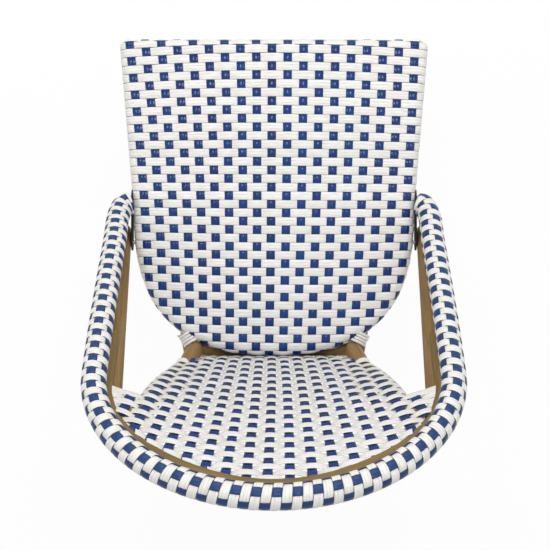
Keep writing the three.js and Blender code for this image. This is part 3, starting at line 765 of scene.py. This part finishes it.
def hoop_wrap():
    """One white strand wound round the hoop: it rides over and under the lengthwise strands in turn."""
    turns = np.arange(HOOP_T[0], HOOP_T[-1], 1 / 32)
    s = np.interp(turns, HOOP_T, HOOP_S)
    half = 0.5 * np.gradient(s, turns) - GAP
    lift = HOOP_OVER * wave(HOOP_STRANDS * (turns - strand_turn(s)), 0.6)
    ends = (HOOP_S[0] + CLEAR, HOOP_S[-1] - CLEAR)
    ss = np.clip(s[:, None] + half[:, None] * ACROSS, *ends)
    shape = HOOP.skin(ss, 2 * np.pi * turns[:, None], HOOP_R + lift[:, None] + HEIGHT)
    return strand_set("hoop_winding", shape[None], (2 * np.pi * turns * HOOP_R)[None], np.array([0.5]),
                      hoop_white, nodes=["hoop_wrap"])


def hoop_lengths():
    """Blue strands along the hoop, each under the winding where that goes over."""
    k = np.arange(HOOP_STRANDS)[:, None]
    s = np.linspace(HOOP_S[0] + 1.0, HOOP_S[-1] - 1.0, 720)
    turns = np.interp(s, HOOP_S, HOOP_T)
    place = strand_turn(s) + k / HOOP_STRANDS
    lift = -HOOP_OVER * wave(turns - place + k, 0.45)
    turn = 2 * np.pi * place[..., None] + 0.5 * STRAND / HOOP_R * ACROSS
    shape = HOOP.skin(s[None, :, None], turn, HOOP_R + lift[..., None] + HEIGHT)
    length = np.broadcast_to(s, (HOOP_STRANDS, len(s)))
    return strand_set("hoop_lengths", shape, length, tones(HOOP_STRANDS, 8), hoop_blue, True)


hoop_wrap()
hoop_lengths()


# Tubes

def smooth_points(points, per=10):
    """A centripetal Catmull-Rom line through points, per steps to each span."""
    p = np.asarray(points, dtype=float)
    p = np.concatenate([[2 * p[0] - p[1]], p, [2 * p[-1] - p[-2]]])
    out = []
    for a, b, c, d in zip(p[:-3], p[1:-2], p[2:-1], p[3:]):
        t1 = np.sqrt(np.linalg.norm(b - a))
        t2 = t1 + np.sqrt(np.linalg.norm(c - b))
        t3 = t2 + np.sqrt(np.linalg.norm(d - c))
        t = np.linspace(t1, t2, per, endpoint=False)[:, None]
        ab = (t1 - t) / t1 * a + t / t1 * b
        bc = (t2 - t) / (t2 - t1) * b + (t - t1) / (t2 - t1) * c
        cd = (t3 - t) / (t3 - t2) * c + (t - t2) / (t3 - t2) * d
        abc = (t2 - t) / t2 * ab + t / t2 * bc
        bcd = (t3 - t) / (t3 - t1) * bc + (t - t1) / (t3 - t1) * cd
        out.append((t2 - t) / (t2 - t1) * abc + (t - t1) / (t2 - t1) * bcd)
    return np.concatenate(out + [p[-2:-1]])


def free_route(points, side=(1.0, 0.0, 0.0)):
    """A route in space: side is kept square to the line, step by step."""
    p = np.asarray(points, dtype=float)
    way = np.gradient(p, axis=0)
    way /= np.linalg.norm(way, axis=1)[:, None]
    sides = np.empty_like(p)
    s = np.asarray(side, dtype=float)
    for i, w in enumerate(way):
        s = s - w * s.dot(w)
        s /= np.linalg.norm(s)
        sides[i] = s
    return Route(p, sides, np.cross(way, sides))


def tube(name, route, radius, material, nodes=(), span=None, around=32, steps=None, tone=0.0):
    """A round tube along a route, its ends closed by rounded rims: the radius eases in over the last
    millimetre."""
    low, high = span or (0.0, route.length)
    steps = steps or max(int((high - low) / 6), 2)
    s = np.concatenate([[low, low + 0.4], np.linspace(low + 1.2, high - 1.2, steps), [high - 0.4, high]])
    ease = np.ones(len(s))
    ease[[0, -1]], ease[[1, -2]] = 0.92, 0.98
    turn = np.arange(around) / around * 2 * np.pi
    shape = route.skin(s[:, None], turn[None, :], radius * ease[:, None])
    quads, caps = sweep_faces(1, len(s), around, True)
    weave = np.empty(shape.shape)
    weave[..., 0], weave[..., 1], weave[..., 2] = s[:, None], (turn / (2 * np.pi))[None, :], tone
    return make_piece(name, shape.reshape(-1, 3), quads, caps, weave.reshape(-1, 3), material, nodes)


def arch_inset(turn):
    """How far the ring is inset from the hoop round the arch, with a little more at the shoulders."""
    return INSET_SIDE + (INSET_REAR - INSET_SIDE) * np.sin(turn) + RING_SHOULDER * np.sin(2 * turn) ** 2


def ring_place(turn, extra=0.0):
    """The ring's middle line: inset from the hoop's, and as far behind it as lets the two touch."""
    n = np.stack([np.cos(turn) / HOOP_HALF, np.sin(turn) / ARCH_RISE], -1)
    n /= np.linalg.norm(n, axis=-1)[..., None]
    inset = arch_inset(turn)
    u = HOOP_HALF * np.cos(turn) - inset * n[..., 0]
    v = SIDE_LENGTH + ARCH_RISE * np.sin(turn) - inset * n[..., 1]
    return in_plane(u, v, np.sqrt(RING_REACH ** 2 - inset ** 2) + extra)


def ring_points():
    """The ring's middle line from end to end: its ends run down beside the hoop's straight sides."""
    depth = math.sqrt(RING_REACH ** 2 - INSET_SIDE ** 2)
    v = np.linspace(SIDE_LENGTH - RING_LAP, SIDE_LENGTH, 20)[:-1]
    low = in_plane(hoop_half(v) - INSET_SIDE, v, depth)
    arch = ring_place(np.linspace(0.0, np.pi, 241))
    return np.concatenate([low, arch, low[::-1] * [-1, 1, 1]])


RING_LINE = ring_points()


def make_hoop_core():
    """The bare tube inside the winding, cut off flat just outside the side plates."""
    foot = foot_at(CLEAR)
    tube("hoop_core_tube", HOOP, HOOP_CORE_R, bare_tube, ["hoop_tube"],
         (foot, HOOP.length - foot), steps=260)


make_hoop_core()


def make_ring():
    """The brown tube that nests inside and behind the hoop and rims the back, its print darkened with painted
    shade.
    """
    tube("back_ring_tube", free_route(RING_LINE), RING_R, shaded_ring_print, ["back_ring"],
         steps=200, tone=0.3)


make_ring()


def make_uprights():
    """Straight tubes behind the hoop's sides."""
    head_half = HOOP_HALF - INSET_SIDE - UPRIGHT_INSET
    foot_half = PLATE_OUT + CLEAR + UPRIGHT_R
    touch = RING_R + UPRIGHT_R + CLEAR
    depth = math.sqrt(RING_REACH ** 2 - INSET_SIDE ** 2) + math.sqrt(touch ** 2 - UPRIGHT_INSET ** 2)
    bolt_run = depth * FRONT[2] / ALONG[2]
    leave = bolt_run + math.copysign(PLATE_HALF, foot_half - head_half) / ALONG[2]
    v = np.array([bolt_run - UPRIGHT_PAST, SIDE_LENGTH])
    u = foot_half + (head_half - foot_half) * (v - leave) / (SIDE_LENGTH - leave)
    for side, sign in SIDES:
        ends = in_plane(sign * u, v, depth)
        points = ends[0] + (ends[1] - ends[0]) * np.linspace(0, 1, 30)[:, None]
        tube(f"upright_tube_{side}", free_route(points), UPRIGHT_R, cane_print,
             [f"upright_{side}"], tone=0.55 + 0.1 * sign)


make_uprights()


# Back panel

def smooth(share):
    """0 to 1 with a level start and end, held outside."""
    t = np.clip(share, 0.0, 1.0)
    return t * t * (3 - 2 * t)


def ease(share):
    """0 to 1 with a level end, held outside."""
    return 1 - (1 - np.clip(share, 0.0, 1.0)) ** 2


def panel_y(x, z):
    """The back's middle surface: it leans and hollows with height, and curls forward towards the stiles."""
    h = np.maximum(0.0, z - SEAT_TOP) / SPAN_Z
    s = np.abs(x) / SPAN_X
    middle = BACK_SHIFT + BACK_SLOPE * h + BACK_SWEEP * h * h
    hollow = HOLLOW_LOW + HOLLOW_RISE * h - HOLLOW_FALL * h * h
    curl = CURL * (1 - smooth((z - STILE_TOP) / CURL_FADE)) * s ** CURL_POWER
    return np.maximum(middle - hollow * s * s - curl, CROSS_Y + SKIN_R)


def stile_x(z):
    """How far a stile's middle is from the middle of the back."""
    share = np.maximum(0.0, z - SEAT_TOP) / (STILE_TOP - SEAT_TOP)
    return REAR_TOP_X + STILE_SPLAY * share - STILE_BOW * share * share


def stile_place(sign, z):
    """A stile's middle line: in front of the back's surface at the rail, behind it further up."""
    z = np.asarray(z, dtype=float)
    rise = smooth((z - RAIL_Z) / STILE_SETTLE)
    x = np.where(z > STILE_TOP, SHOULDER_X, stile_x(z))
    y = panel_y(x, z) - SKIN_R * (1 - rise) + STILE_BEHIND * rise
    return np.stack([sign * x, y, z], -1)


def leg_line(sign):
    """A rear leg: straight to the seat, then the stile, then out to the ring."""
    foot = REAR_FOOT * np.array([sign, 1.0, 1.0])
    knee = stile_place(sign, RAIL_Z)
    low = foot + (knee - foot) * np.linspace(0, 1, 26)[:-2, None]
    heights = RAIL_Z + (STILE_TOP - RAIL_Z) * np.array([0.0, 0.06, 0.14, 0.26, 0.42, 0.6, 0.76, 0.88, 1.0])
    angle = np.pi / 10 if sign > 0 else np.pi - np.pi / 10
    stile = stile_place(sign, np.append(heights, STILE_TOP + SHOULDER_RISE))
    head = ring_place(np.array([angle]), LEG_BEHIND_RING)
    curve = smooth_points(np.concatenate([low[-3:], stile, head]), 8)
    return np.concatenate([low[:-3], curve])


def make_rear_legs():
    """Both rear legs with the stiles that they run up into."""
    for side, sign in SIDES:
        tube(f"rear_leg_tube_{side}", free_route(leg_line(sign)), LEG_R, cane_print,
             [f"rear_leg_{side}"], steps=120, tone=0.2 + 0.1 * sign)


make_rear_legs()


def straight(name, start, end, radius, node, tone):
    """A plain straight tube between two points."""
    points = np.array(start) + (np.array(end) - np.array(start)) * np.linspace(0, 1, 12)[:, None]
    side = (0.0, 0.0, 1.0) if abs(end[2] - start[2]) < 50 else (1.0, 0.0, 0.0)
    tube(name, free_route(points, side), radius, cane_print, [node], tone=tone)


def bent(name, low, corner, high, node, tone):
    """A brace: a thin tube that curves from low to high, drawn towards the corner."""
    t = np.linspace(0, 1, 30)[:, None]
    points = (1 - t) ** 2 * np.array(low) + 2 * t * (1 - t) * np.array(corner) + t * t * np.array(high)
    tube(name, free_route(points, (0.0, 0.0, 1.0)), BRACE_R, cane_print, [node], tone=tone)


def on_leg(foot, top, z):
    """The place at height z on the line from foot to top."""
    return foot + (top - foot) * (z - foot[2]) / (top[2] - foot[2])


def make_seat_rail():
    """The seat rail as one tube round the rail's line, its two ends a step past each other."""
    loop = np.concatenate([RAIL[-2:-1], RAIL, RAIL[1:2]])
    points = np.concatenate([loop, np.full((len(loop), 1), RAIL_Z)], 1)
    tube("seat_rail_tube", free_route(points, (0.0, 0.0, 1.0)), RAIL_R, cane_print,
         ["seat_frame"], steps=300, tone=0.9)


def make_braces(side, foot, top, rear_foot, knee, mirror):
    """Three braces on one side: two from the front leg to the seat rail, one from the rear leg to the
    cross rail."""
    sign = mirror[0]
    low, corner = on_leg(foot, top, RAIL_Z - BRACE_REACH), on_leg(foot, top, RAIL_Z - RAIL_R)
    for kind, end in (("front", FRONT_BRACE_END), ("side", SIDE_BRACE_END)):
        high = mirror * end
        near = corner + (high - corner) * BRACE_ROUND
        bent(f"{kind}_brace_tube_{side}", low, near, high, f"{kind}_brace_{side}", 0.2 + 0.1 * sign)
    high = mirror * REAR_BRACE_END
    low, corner = on_leg(rear_foot, knee, CROSS_Z - BRACE_REACH), on_leg(rear_foot, knee, CROSS_Z - RAIL_R)
    near = corner + (high - corner) * BRACE_ROUND
    bent(f"rear_brace_tube_{side}", low, near, high, f"rear_brace_{side}", 0.7 + 0.1 * sign)


def make_frame():
    """The seat rail, the cross rail, the front legs, the stretchers and the braces."""
    make_seat_rail()
    cross_end = np.array([REAR_TOP_X, CROSS_Y, CROSS_Z])
    straight("cross_rail_tube", cross_end * [-1, 1, 1], cross_end, CROSS_R, "back_cross_rail", 0.4)
    middles = []
    for side, sign in SIDES:
        mirror = np.array([sign, 1.0, 1.0])
        foot, top = mirror * FRONT_FOOT, mirror * FRONT_TOP
        straight(f"front_leg_tube_{side}", foot, top, LEG_R, f"front_leg_{side}", 0.3 + 0.1 * sign)
        rear_foot, knee = mirror * REAR_FOOT, mirror * (REAR_TOP_X, CROSS_Y, RAIL_Z)
        ends = [on_leg(foot, top, STRETCHER_Z), on_leg(rear_foot, knee, STRETCHER_Z)]
        straight(f"side_stretcher_tube_{side}", *ends, STRETCHER_R, f"side_stretcher_{side}",
                 0.5 + 0.1 * sign)
        middles.append(ends[0] + (ends[1] - ends[0]) * CROSS_SHARE)
        make_braces(side, foot, top, rear_foot, knee, mirror)
    straight("cross_stretcher_tube", *middles, STRETCHER_R, "cross_stretcher", 0.1)


make_frame()

def panel_arc():
    """Length up the middle of the panel against height."""
    z = np.linspace(400.0, 800.0, 2001)
    h = np.maximum(0.0, z - SEAT_TOP) / SPAN_Z
    slope = np.where(z > SEAT_TOP, (BACK_SLOPE + 2 * BACK_SWEEP * h) / SPAN_Z, 0.0)
    rise = np.sqrt(1 + slope ** 2)
    arc = np.concatenate([[0.0], np.cumsum((rise[1:] + rise[:-1]) / 2 * np.diff(z))])
    return z, arc - np.interp(PANEL_ARC_TOP, z, arc)


PANEL_Z, PANEL_ARC = panel_arc()


def panel_row_z(r):
    """The height of back row r at the middle."""
    return np.interp(r * PANEL_PITCH, PANEL_ARC, PANEL_Z)


def row_lift(x, z):
    """How far a back row stands above its height at the middle: a slight bow, and a rise beside the ring."""
    ax = np.abs(x)
    bow = BOW_MIDDLE + BOW_RISE * ease(ax / BOW_TOP_X) - BOW_FALL * ease((ax - BOW_TOP_X) / BOW_FALL_RUN)
    beside = np.clip(ax - EDGE_X, 0.0, EDGE_RUN)
    return bow + EDGE_SLOPE * beside * np.clip((EDGE_TOP - z) / EDGE_FADE, 0.0, 1.0)


def fold_panel(x, z, h, wrap):
    """Lays points on the back: the hollow surface, rolled round the stiles where wrap is 1, and under
    the cross rail below its middle."""
    sign = np.sign(x)
    ax = np.abs(x)
    xs = stile_x(z)
    stile = stile_place(1.0, np.minimum(z, STILE_TOP))
    bulge = np.clip(PANEL_R - (stile[..., 1] - panel_y(xs, z)), 0.0, BULGE_MOST) * wrap
    swell = smooth((ax - xs + BULGE_RUN) / BULGE_RUN)
    flat_x = np.where(wrap > 0.5, np.minimum(ax, xs), ax)
    dx = (panel_y(flat_x + 0.5, z) - panel_y(flat_x - 0.5, z))
    dz = (panel_y(flat_x, z + 0.5) - panel_y(flat_x, z - 0.5))
    length = np.sqrt(1 + dx * dx + dz * dz)
    nx, ny, nz = dx / length, -1 / length, dz / length
    push = h + bulge * swell
    px, py, pz = flat_x + nx * push, panel_y(flat_x, z) + ny * push, z + nz * push
    turn = np.clip(ax - xs, 0.0, None) / PANEL_R * (wrap > 0.5)
    centre = np.stack([px, py], -1) - np.stack([nx, ny], -1) * (PANEL_R + h)[..., None]
    reach = (PANEL_R + h) * np.cos(turn)
    aside = (PANEL_R + h) * np.sin(turn)
    rolled_x = centre[..., 0] + reach * nx - aside * ny
    rolled_y = centre[..., 1] + reach * ny + aside * nx
    px, py = np.where(turn > 0, rolled_x, px), np.where(turn > 0, rolled_y, py)
    under = np.clip(CROSS_Z - z, 0.0, None) / CROSS_SKIN
    py = np.where(under > 0, CROSS_Y + (CROSS_SKIN - h) * np.cos(under), py)
    pz = np.where(under > 0, CROSS_Z - (CROSS_SKIN - h) * np.sin(under), pz)
    return np.stack([sign * px, py, pz], -1)


def ring_gap(x, z):
    """How far the back's middle surface is from the ring's middle line, at places (k, n)."""
    p = np.stack([x, panel_y(x, z), z], -1)
    return np.stack([np.linalg.norm(RING_LINE[:, None] - row, axis=-1).min(0) for row in p])


def first_inside(gap):
    """The index along each row of places where it first reaches into the ring, or comes closest to it."""
    limit = np.maximum(RING_R - 1.5, gap.min(1) + 1.0)
    return (gap < limit[:, None]).argmax(1)


def back_rows():
    """White strands across the back: over and under the columns, then round a stile or into the ring."""
    r = np.arange(-33, 3)
    z0 = panel_row_z(r)
    grid = np.linspace(0.0, HOOP_HALF - 1.0, 465)
    lap = LAP_TURN * PANEL_R
    ends = []
    for sign in (-1, 1):
        x = np.broadcast_to(sign * grid, (len(r), len(grid)))
        level = z0[:, None] + row_lift(x, z0[:, None])
        ends.append(np.where(z0 > SHOULDER_Z, grid[first_inside(ring_gap(x, level))],
                             np.where(z0 < BARE_Z, stile_x(z0) - ROW_STOP, stile_x(z0) + lap)))
    keep = np.minimum(*ends) > SHORTEST_ROW
    r, z0, far = r[keep], z0[keep], [e[keep] for e in ends]
    x = -far[0][:, None] + (far[0] + far[1])[:, None] * np.linspace(0.0, 1.0, 180)
    z = z0[:, None] + row_lift(x, z0[:, None])
    c = np.clip(BACK_FAN.column(x, z), -OUTER_COLUMN, OUTER_COLUMN)
    edge = np.where(z0 > SHOULDER_Z + PANEL_PITCH, 8.0, 7.0)[:, None]
    fade = 1 - np.clip((np.abs(c) - edge - BACK_EDGE) / BACK_EDGE_EASE, 0.0, 1.0)
    lift = -BACK_OVER * (1 - 2 * (r[:, None] % 2)) * wave(c, 0.75) * fade
    half = 0.5 * np.gradient(z0) - GAP
    zz = z[..., None] + half[:, None, None] * ACROSS
    xx = np.broadcast_to(x[..., None], zz.shape)
    wrap = np.broadcast_to(((z0 < SHOULDER_Z) & (z0 > BARE_Z))[:, None, None].astype(float), zz.shape)
    shape = fold_panel(xx, zz, lift[..., None] + HEIGHT, wrap)
    return strand_set("back_rows", shape, x, tones(len(r), 11), hoop_white, True,
                      ["back_weave"])


def back_columns():
    """Blue strands up the back, from round the cross rail to the ring, under where a row goes over."""
    c = np.arange(-8, 9)
    bottom = np.array([COLUMN_FOOT.get(abs(column), CROSS_Z - COLUMN_HEM) for column in c.tolist()])
    grid = np.broadcast_to(np.linspace(610.0, 812.0, 405), (len(c), 405))
    x = BACK_FAN.place(c[:, None], grid)
    top = grid[0, first_inside(ring_gap(x, grid))]
    z = bottom[:, None] + (top - bottom)[:, None] * np.linspace(0, 1, 230)
    x = BACK_FAN.place(c[:, None], np.maximum(z, SEAT_TOP - 20))
    r = np.interp(z - row_lift(x, z), PANEL_Z, PANEL_ARC) / PANEL_PITCH
    lift = BACK_COLUMN_OVER * (1 - 2 * (c[:, None] % 2)) * wave(r, 0.6)
    xx = x[..., None] + 0.5 * STRAND * ACROSS
    zz = np.broadcast_to(z[..., None], xx.shape)
    wrap = ((zz < SHOULDER_Z) & (zz > BARE_Z)).astype(float)
    shape = fold_panel(xx, zz, lift[..., None] + HEIGHT, wrap)
    return strand_set("back_columns", shape, z, tones(len(c), 13), seat_blue, False)


back_rows()
back_columns()


# Bindings, floor and the solids that stay

BINDING_START = (131.5, 107.0, 435.0)
BINDING_END = (121.0, 126.0, 437.0)
BINDING_TURNS = 4
BINDING_R = 12.6
BINDING_HALF = 1.9
BINDING_SWELL = 0.6
BINDING_INSET = 2.0


def corner_binding(side, sign):
    """One narrow white strand wound round the seat rail beside a rear leg, a little unevenly."""
    start, end = np.array(BINDING_START), np.array(BINDING_END)
    points = (start + (end - start) * np.linspace(0, 1, 20)[:, None]) * [sign, 1, 1]
    route = free_route(points)
    turns = np.linspace(0.0, BINDING_TURNS, BINDING_TURNS * 28 + 1)
    s = BINDING_INSET + (route.length - 2 * BINDING_INSET) * turns / BINDING_TURNS
    ss = s[:, None] + BINDING_HALF * ACROSS
    grow = BINDING_R + BINDING_SWELL * np.sin(turns * 2.3 + sign)[:, None]
    shape = route.skin(np.clip(ss, 0.0, route.length), 2 * np.pi * turns[:, None], grow + HEIGHT)
    strand_set(f"corner_binding_{side}", shape[None], (turns * 90.0)[None], np.array([0.4]),
               hoop_white)


for side, sign in SIDES:
    corner_binding(side, sign)


def make_floor():
    """A pale floor under the chair, wide enough to fill the picture."""
    far = 6.0
    mesh = bpy.data.meshes.new("floor")
    corners = [(-far, -far, 0), (far, -far, 0), (far, far, 0), (-far, far, 0)]
    mesh.from_pydata(corners, [], [(0, 1, 2, 3)])
    floor = bpy.data.objects.new("floor", mesh)
    bpy.context.scene.collection.objects.link(floor)
    f = Finish("pale floor", "FAFAFA", 0.9)
    glow = f.node("ShaderNodeEmission")
    blend = f.node("ShaderNodeMixShader")
    f.link(f.math("MULTIPLY", seen_directly(f.tree), 0.92), blend.inputs[0])
    f.link(f.shader.outputs[0], blend.inputs[1])
    f.link(glow.outputs[0], blend.inputs[2])
    f.link(blend.outputs[0], f.tree.nodes["Material Output"].inputs["Surface"])
    mesh.materials.append(f.material)


make_floor()

FINISHES = {
    "cane_tube": cane_print,
    "white_strand": seat_white,
    "bare_tube": bare_tube,
    "black_plastic": black_plastic,
    "black_steel": shaded_dark_steel,
    "zinc_steel": zinc,
}
for part in frame["record"]["subparts"]:
    node = frame["nodes"][part["node"]]
    node.data.materials.clear()
    node.data.materials.append(FINISHES[part["material_slot"]])

bpy.context.scene.view_settings.view_transform = "Standard"
